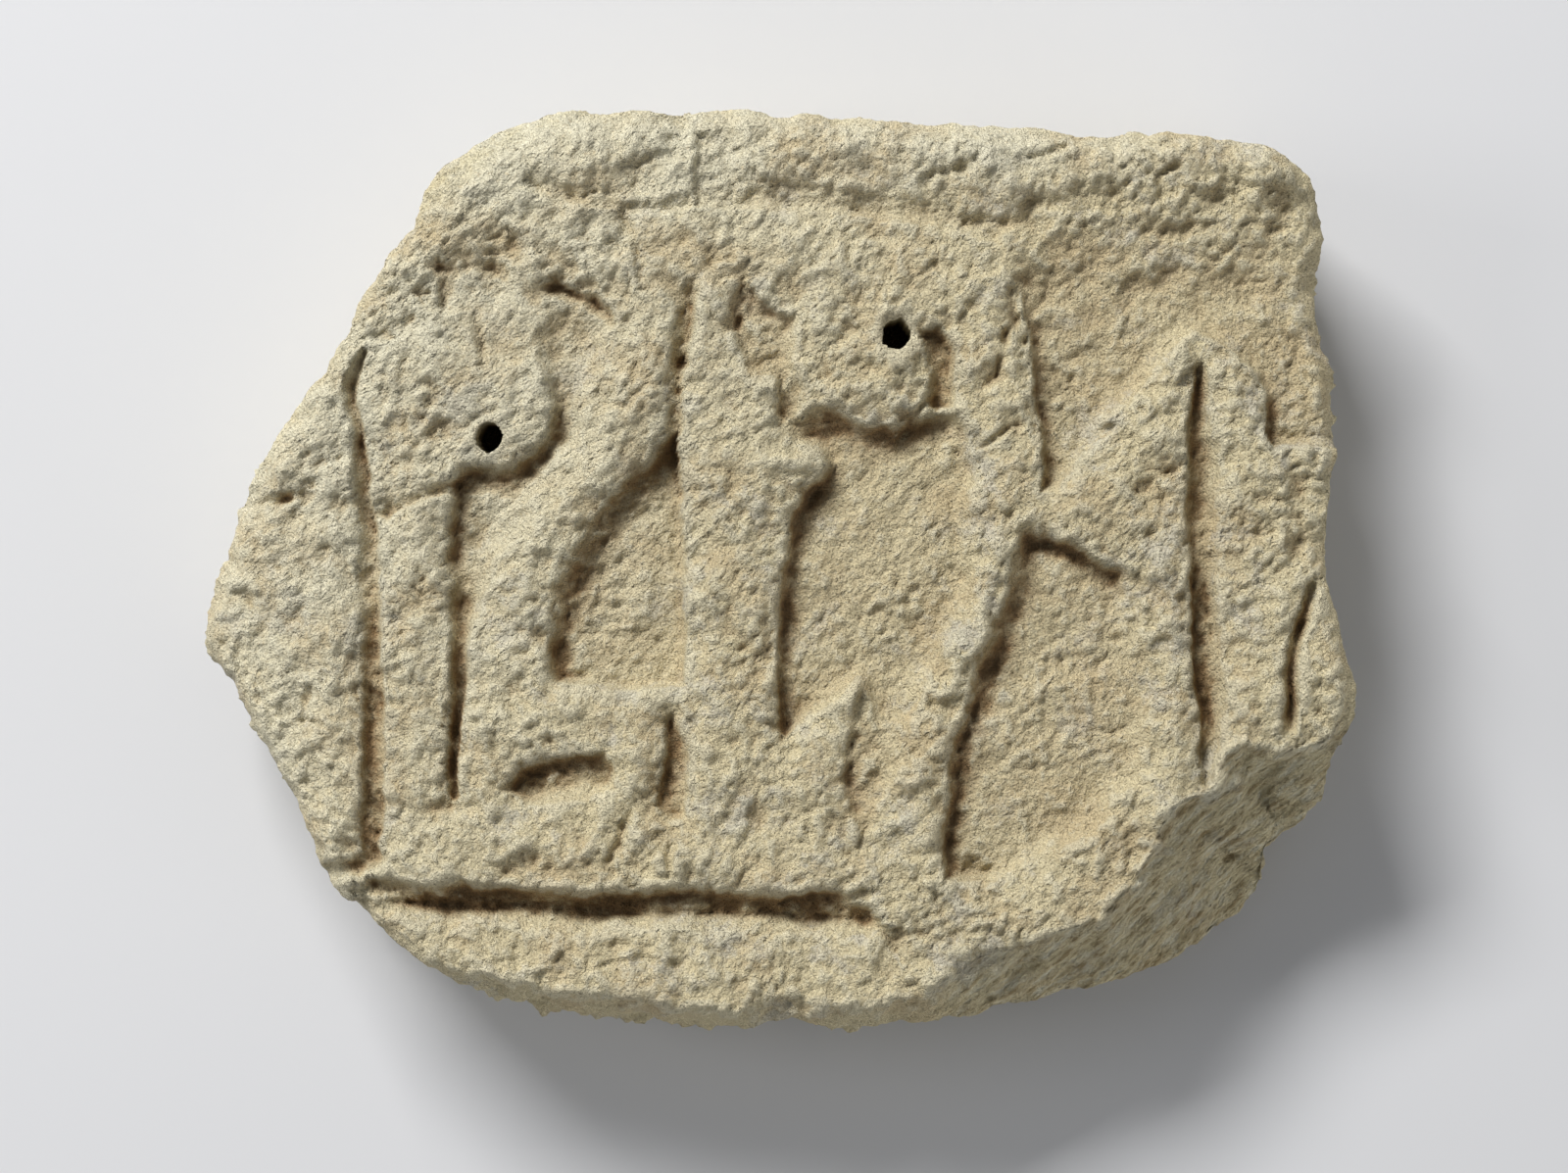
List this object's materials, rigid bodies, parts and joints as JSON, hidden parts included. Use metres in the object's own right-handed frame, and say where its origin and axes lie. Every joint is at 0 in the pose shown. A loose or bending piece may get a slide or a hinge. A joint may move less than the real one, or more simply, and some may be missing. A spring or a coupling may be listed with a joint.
{
  "type": "stone relief panel",
  "caption": "Broken limestone slab with worn signs carved in low relief on its front and two small drilled holes, lying on its flat back.",
  "frame": {"origin": "centre of the box round the stone, on its flat back, with the stone lying on that back", "axes": "+X across the panel to the viewer's right, +Y up the panel towards its plain top strip, +Z out of the carved face"},
  "size_m": [0.3, 0.238, 0.0558],
  "materials": {
    "limestone": "rough, weathered, cream to tan with brown dirt in the cuts"
  },
  "bodies": {
    "root": {"stone_block": "limestone"}
  },
  "joints": []
}
